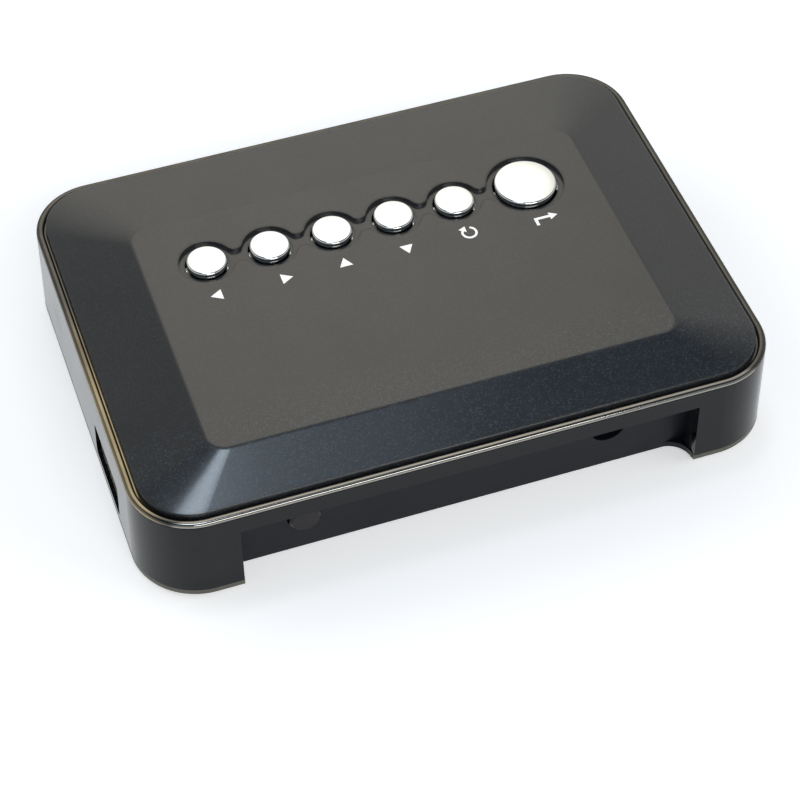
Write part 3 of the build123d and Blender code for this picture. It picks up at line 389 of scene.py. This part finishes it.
# ------------------------------------------------------------------ making pieces
SMOOTH_ANGLE = radians(40.0)
LEVEL_MATCH = 0.001
ROLL_STEPS = 7


def link_mesh(name, build, material):
    """Turn a bmesh into an object of the scene."""
    mesh = bpy.data.meshes.new(name)
    build.to_mesh(mesh)
    build.free()
    mesh.materials.append(material)
    made = bpy.data.objects.new(name, mesh)
    scene.collection.objects.link(made)
    return made


def new_piece(name, build, material, body, replaced):
    """Finish a mesh in millimetres as a piece that rides on a body and replaces a node."""
    bmesh.ops.recalc_face_normals(build, faces=build.faces[:])
    bmesh.ops.scale(build, vec=(MM, MM, MM), verts=build.verts[:])
    for edge in build.edges:
        joined = len(edge.link_faces) == 2
        edge.smooth = joined and edge.calc_face_angle(0.0) < SMOOTH_ANGLE
    for face in build.faces:
        face.smooth = True
    piece = link_mesh(name, build, material)
    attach(piece, body)
    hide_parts(replaced)


# ------------------------------------------------------------------ trim bead (millimetres)
HALF_LENGTH = 55.0
HALF_DEPTH = 40.5
CORNER_RADIUS = 11.2
CORNER_STEPS = 18
WALL_LEAN = 0.4
BEAD_WIDTH = 1.4
BEAD_HEIGHT = 0.55
BEAD_SINK = 0.02
BEAD_ROLL = 0.52
LEDGE_INSET = 1.3
LEDGE_WIDTH = 2.3


def outline_face(build, inset, level):
    """Flat face with the case's rounded outline, drawn in by inset."""
    sheet = bmesh.ops.create_grid(build, x_segments=1, y_segments=1, size=1.0)["verts"]
    for corner in sheet:
        corner.co.x = copysign(HALF_LENGTH - inset, corner.co.x)
        corner.co.y = copysign(HALF_DEPTH - inset, corner.co.y)
        corner.co.z = level
    bmesh.ops.bevel(
        build, geom=sheet, offset=CORNER_RADIUS - inset, offset_type="OFFSET",
        segments=CORNER_STEPS, profile=0.5, affect="VERTICES", material=-1,
    )
    flat = [
        face for face in build.faces
        if abs(face.calc_center_median().z - level) < LEVEL_MATCH
    ]
    return max(flat, key=lambda face: face.calc_area())


def rounded_ring(build, inset, width, foot, top, roll=0.0):
    """Ring that follows the case's rounded outline, with its two upper edges rolled over."""
    whole = outline_face(build, inset, foot)
    band = bmesh.ops.inset_region(
        build, faces=[whole], thickness=width, use_even_offset=True, use_boundary=True,
    )["faces"]
    bmesh.ops.delete(build, geom=[whole], context="FACES")
    raised = bmesh.ops.extrude_face_region(build, geom=band, use_keep_orig=True)["geom"]
    points = [item for item in raised if isinstance(item, bmesh.types.BMVert)]
    bmesh.ops.translate(build, verts=points, vec=(0.0, 0.0, top - foot))
    if roll:
        lids = {item for item in raised if isinstance(item, bmesh.types.BMFace)}
        rims = {
            edge for face in lids for edge in face.edges
            if any(other not in lids for other in edge.link_faces)
        }
        bmesh.ops.bevel(
            build, geom=list(rims), offset=roll, offset_type="OFFSET", segments=ROLL_STEPS,
            profile=0.5, affect="EDGES", material=-1,
        )


def add_trim_bead(material):
    """Rolled bead over the ledge that the lid rests on."""
    low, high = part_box("trim_ring")
    foot, crown = low[Z] / MM, high[Z] / MM
    seat = crown - BEAD_HEIGHT
    build = bmesh.new()
    rounded_ring(build, WALL_LEAN, BEAD_WIDTH, seat - BEAD_SINK, crown, BEAD_ROLL)
    rounded_ring(build, LEDGE_INSET, LEDGE_WIDTH, foot, seat)
    new_piece("trim_bead", build, material, "case", "trim_ring")


# ------------------------------------------------------------------ button caps (millimetres)
BUTTONS = ("confirm", "return", "up", "down", "left", "right")
CAP_STEPS = 72
CAP_ROLL = 0.32
CAP_CROWN = 0.03
CROWN_STEPS = 2
CROWN_STEP_SHARE = 0.30
EAR_ROOT = 0.6
EAR_WIDTH = 3.0
EAR_HEIGHT = 1.0


def add_cap(name, material):
    """Turned cap with a rolled edge and a faintly crowned top, and its two ears."""
    node = "cap_" + name
    low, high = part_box(node)
    x, y = ((low[axis] + high[axis]) / MM / 2 for axis in (X, Y))
    ear, radius = ((high[axis] - low[axis]) / MM / 2 for axis in (X, Y))
    foot, top = low[Z] / MM, high[Z] / MM
    shoulder = top - CAP_CROWN
    build = bmesh.new()
    bmesh.ops.create_cone(
        build, cap_ends=True, cap_tris=False, segments=CAP_STEPS,
        radius1=radius, radius2=radius, depth=shoulder - foot,
        matrix=Matrix.Translation((x, y, (shoulder + foot) / 2)),
    )
    rim = [
        edge for edge in build.edges
        if min(end.co.z for end in edge.verts) > shoulder - LEVEL_MATCH
    ]
    bmesh.ops.bevel(
        build, geom=rim, offset=CAP_ROLL, offset_type="OFFSET", segments=ROLL_STEPS,
        profile=0.5, affect="EDGES", material=-1,
    )
    crest = max(build.faces, key=lambda face: face.calc_center_median().z)
    for _ in range(CROWN_STEPS):
        bmesh.ops.inset_region(
            build, faces=[crest], thickness=radius * CROWN_STEP_SHARE,
            depth=CAP_CROWN / CROWN_STEPS, use_even_offset=True,
        )
    root = radius - EAR_ROOT
    for side in (-1, 1):
        place = Matrix.Translation((x + side * (root + ear) / 2, y, foot + EAR_HEIGHT / 2))
        size = Matrix.Diagonal((ear - root, EAR_WIDTH, EAR_HEIGHT, 1.0))
        bmesh.ops.create_cube(build, size=1.0, matrix=place @ size)
    new_piece("button_" + name, build, material, "button_" + name, node)


# ------------------------------------------------------------------ printed symbols
INK_LEVEL = PANEL_LEVEL + 0.000008

# the rest in millimetres
LEGEND_Y = -3.45
TRIANGLE_REACH = 1.342
TRIANGLES = {
    "right": (29.6, 0.0),
    "left": (17.9, pi),
    "down": (7.3, -pi / 2),
    "up": (-3.7, pi / 2),
}
RETURN_X = -14.95
RETURN_INNER, RETURN_OUTER = 1.00, 1.42
RETURN_START, RETURN_SWEEP = radians(-35), radians(285)
RETURN_STEPS = 28
RETURN_HEAD_HALF = 0.75
RETURN_HEAD_LENGTH = 1.15
ENTER_X, ENTER_Y = -28.6, -2.70
ENTER_RIGHT, ENTER_TOP = 2.1, 1.55
ENTER_NECK, ENTER_TIP = -0.7, -2.15
ENTER_HALF_LINE = 0.27
ENTER_HEAD_HALF = 0.85


def flat_piece(name, outlines, material, build=None):
    """Thin print on the panel. outlines are lists of points, each a closed polygon."""
    build = build or bmesh.new()
    for outline in outlines:
        build.faces.new([build.verts.new((x * MM, y * MM, INK_LEVEL)) for x, y in outline])
    bmesh.ops.triangulate(build, faces=build.faces[:])
    bmesh.ops.recalc_face_normals(build, faces=build.faces[:])
    for face in build.faces:
        face.normal_update()
        if face.normal.z < 0:
            face.normal_flip()
    piece = link_mesh(name, build, material)
    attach(piece, "case")


def add_triangle(name, x, turn, ink):
    angles = [turn + step * 2 * pi / 3 for step in range(3)]
    corners = [
        (x + TRIANGLE_REACH * cos(angle), LEGEND_Y + TRIANGLE_REACH * sin(angle))
        for angle in angles
    ]
    flat_piece("symbol_" + name, [corners], ink)


def return_end(reach):
    """Point of the open ring's first end, at a distance from its centre."""
    return RETURN_X + reach * cos(RETURN_START), LEGEND_Y + reach * sin(RETURN_START)


def add_return_ring(ink):
    """Open ring with an arrow head: go back."""
    arc = bmesh.new()
    ends = []
    for reach in (RETURN_INNER, RETURN_OUTER):
        x, y = return_end(reach)
        ends.append(arc.verts.new((x * MM, y * MM, INK_LEVEL)))
    bmesh.ops.spin(
        arc, geom=ends + [arc.edges.new(ends)], cent=(RETURN_X * MM, LEGEND_Y * MM, INK_LEVEL),
        axis=(0.0, 0.0, 1.0), angle=RETURN_SWEEP, steps=RETURN_STEPS, use_merge=False,
    )
    base = Vector(return_end((RETURN_OUTER + RETURN_INNER) / 2))
    outward = Vector((cos(RETURN_START), sin(RETURN_START)))
    onward = Vector((sin(RETURN_START), -cos(RETURN_START)))
    head = [
        base + outward * RETURN_HEAD_HALF,
        base - outward * RETURN_HEAD_HALF,
        base + onward * RETURN_HEAD_LENGTH,
    ]
    flat_piece("symbol_return", [[tuple(point) for point in head]], ink, arc)


def add_enter_arrow(ink):
    """Arrow with a bent tail: confirm."""
    right, neck = ENTER_X + ENTER_RIGHT, ENTER_X + ENTER_NECK
    tail = [
        (right, ENTER_Y + ENTER_TOP),
        (right - 2 * ENTER_HALF_LINE, ENTER_Y + ENTER_TOP),
        (right - 2 * ENTER_HALF_LINE, ENTER_Y + ENTER_HALF_LINE),
        (neck, ENTER_Y + ENTER_HALF_LINE),
        (neck, ENTER_Y - ENTER_HALF_LINE),
        (right, ENTER_Y - ENTER_HALF_LINE),
    ]
    head = [
        (neck, ENTER_Y + ENTER_HEAD_HALF),
        (ENTER_X + ENTER_TIP, ENTER_Y),
        (neck, ENTER_Y - ENTER_HEAD_HALF),
    ]
    flat_piece("symbol_confirm", [tail, head], ink)


def add_symbols():
    # the ink also glows: painted light that makes the print brighter than the lamps make it
    ink = surface(
        "white_ink_painted_glow", varied((0.90, 0.90, 0.90), (0.96, 0.96, 0.96), 900.0),
        smudged(0.35, 0.5, 600.0), 0.0, grained(4000.0, 0.000005, 2.0),
        Emission_Color=(1.0, 1.0, 1.0), Emission_Strength=0.25,
    )
    for name, (x, turn) in TRIANGLES.items():
        add_triangle(name, x, turn, ink)
    add_return_ring(ink)
    add_enter_arrow(ink)


# ------------------------------------------------------------------ floor
FLOOR_REACH = 3.0
FLOOR_DARK = (0.80, 0.81, 0.83)
FLOOR_LIGHT = (0.82, 0.83, 0.85)
FLOOR_GLOW = (0.96, 0.98, 1.0)
FLOOR_GLOW_STRENGTH = 0.44


def floor_material():
    """White sheet that also glows for the camera and for what mirrors it."""
    material = bpy.data.materials.new("white_sweep")
    material.use_nodes = True
    nodes = Nodes(material.node_tree)
    paint = nodes.add("ShaderNodeBsdfDiffuse")
    tone = nodes.blend(nodes.drift(9.0, 3.0, 0.5), FLOOR_DARK, FLOOR_LIGHT)
    nodes.put(paint.inputs["Color"], tone)
    glow = nodes.add("ShaderNodeEmission")
    nodes.put(glow.inputs["Color"], FLOOR_GLOW)
    rays = nodes.add("ShaderNodeLightPath").outputs
    seen = nodes.calc("MAXIMUM", rays["Is Camera Ray"], rays["Is Glossy Ray"])
    seen = nodes.calc("MAXIMUM", seen, rays["Is Transmission Ray"])
    nodes.put(glow.inputs["Strength"], nodes.calc("MULTIPLY", seen, FLOOR_GLOW_STRENGTH))
    both = nodes.add("ShaderNodeAddShader")
    nodes.put(both.inputs[0], paint.outputs[0])
    nodes.put(both.inputs[1], glow.outputs[0])
    output = nodes.add("ShaderNodeOutputMaterial")
    nodes.put(output.inputs["Surface"], both.outputs[0])
    return material


def add_floor():
    build = bmesh.new()
    bmesh.ops.create_grid(build, x_segments=1, y_segments=1, size=FLOOR_REACH)
    floor = link_mesh("floor", build, floor_material())


# ------------------------------------------------------------------ room and lamps
CEILING_COLOUR = (0.060, 0.085, 0.115)
WALL_COLOUR = (0.60, 0.60, 0.57)
WALL_FOOT_COLOUR = (0.20, 0.20, 0.20)
CEILING_RISE = (0.45, 0.92)
WALL_RISE = (0.10, 0.42)
WINDOW_COLOUR = (1.34, 1.27, 1.12)
WINDOW_X = -0.185
WINDOW_HALF = (0.05, 0.33)
WINDOW_DEPTH = (-0.40, -0.20)
WINDOW_TOP = (0.77, 0.88)
WINDOW_SHADE = (0.50, 0.70)
WINDOW_SHADE_LEAST = 0.42
WINDOW_SILL = (0.26, 0.46)

# name, direction, distance, width, depth, power, colour, shows in glossy surfaces
LAMPS = (
    ("left_softbox", (0.75, -0.60, 0.55), 1.7, 1.4, 1.0, 10.0, (1.0, 0.99, 0.96), False),
    ("right_softbox", (-0.90, 0.45, 0.45), 1.7, 1.4, 1.0, 9.5, (1.0, 0.99, 0.97), False),
    ("front_softbox", (-0.05, 0.80, 0.72), 1.6, 0.9, 0.30, 6.0, (1.0, 0.98, 0.95), True),
    ("mitre_light", (0.03, -0.20, 0.98), 1.0, 0.20, 0.20, 0.95, (0.74, 0.87, 1.0), True),
    ("ceiling_glow", (-0.03, -0.08, 1.00), 1.0, 0.34, 0.34, 0.20, (0.70, 0.85, 1.0), True),
)


def room_colour(nodes, rise):
    """Pale walls with a darker foot, under a dark ceiling."""
    room = nodes.blend(nodes.fade(rise, *CEILING_RISE), WALL_COLOUR, CEILING_COLOUR)
    return nodes.blend(nodes.fade(rise, *WALL_RISE), WALL_FOOT_COLOUR, room)


def window_share(nodes, across, depth, rise):
    """One in the tall soft window that the lid mirrors, weaker lower down, zero beside it."""
    offset = nodes.calc("ABSOLUTE", nodes.calc("SUBTRACT", across, WINDOW_X))
    share = nodes.fade(offset, *WINDOW_HALF, 1.0, 0.0)
    for value, limits in (
        (rise, (*WINDOW_TOP, 1.0, 0.0)),
        (rise, (*WINDOW_SHADE, WINDOW_SHADE_LEAST, 1.0)),
        (rise, WINDOW_SILL),
        (depth, (*WINDOW_DEPTH, 1.0, 0.0)),
    ):
        share = nodes.calc("MULTIPLY", share, nodes.fade(value, *limits))
    return share


def add_world():
    """Room for the light and the reflections, plain white for the camera."""
    world = bpy.data.worlds.new("studio")
    scene.world = world
    world.use_nodes = True
    nodes = Nodes(world.node_tree)
    way = nodes.add("ShaderNodeTexCoord").outputs["Generated"]
    across, depth, rise = (nodes.part_of(way, axis) for axis in (X, Y, Z))
    window = window_share(nodes, across, depth, rise)
    room = nodes.add("ShaderNodeBackground")
    nodes.put(room.inputs["Color"], nodes.blend(window, room_colour(nodes, rise), WINDOW_COLOUR))
    white = nodes.add("ShaderNodeBackground")
    nodes.put(white.inputs["Color"], (1.0, 1.0, 1.0))
    choice = nodes.add("ShaderNodeMixShader")
    nodes.put(choice.inputs[0], nodes.add("ShaderNodeLightPath").outputs["Is Camera Ray"])
    nodes.put(choice.inputs[1], room.outputs[0])
    nodes.put(choice.inputs[2], white.outputs[0])
    output = nodes.add("ShaderNodeOutputWorld")
    nodes.put(output.inputs["Surface"], choice.outputs[0])


def add_lamps():
    for name, direction, distance, width, depth, power, colour, mirrored in LAMPS:
        lamp = bpy.data.lights.new(name, "AREA")
        lamp.shape = "RECTANGLE"
        lamp.size = width
        lamp.size_y = depth
        lamp.energy = power
        lamp.color = colour
        holder = bpy.data.objects.new(name, lamp)
        way = Vector(direction).normalized()
        holder.location = way * distance
        holder.rotation_euler = way.to_track_quat("Z", "Y").to_euler()
        holder.visible_glossy = mirrored
        scene.collection.objects.link(holder)


# ------------------------------------------------------------------ whole scene
add_camera()
add_world()
add_floor()
add_lamps()
materials = make_materials()
dress_frame(materials)
add_trim_bead(materials["trim_metal"])
for button in BUTTONS:
    add_cap(button, materials["cap_mirror"])
add_symbols()
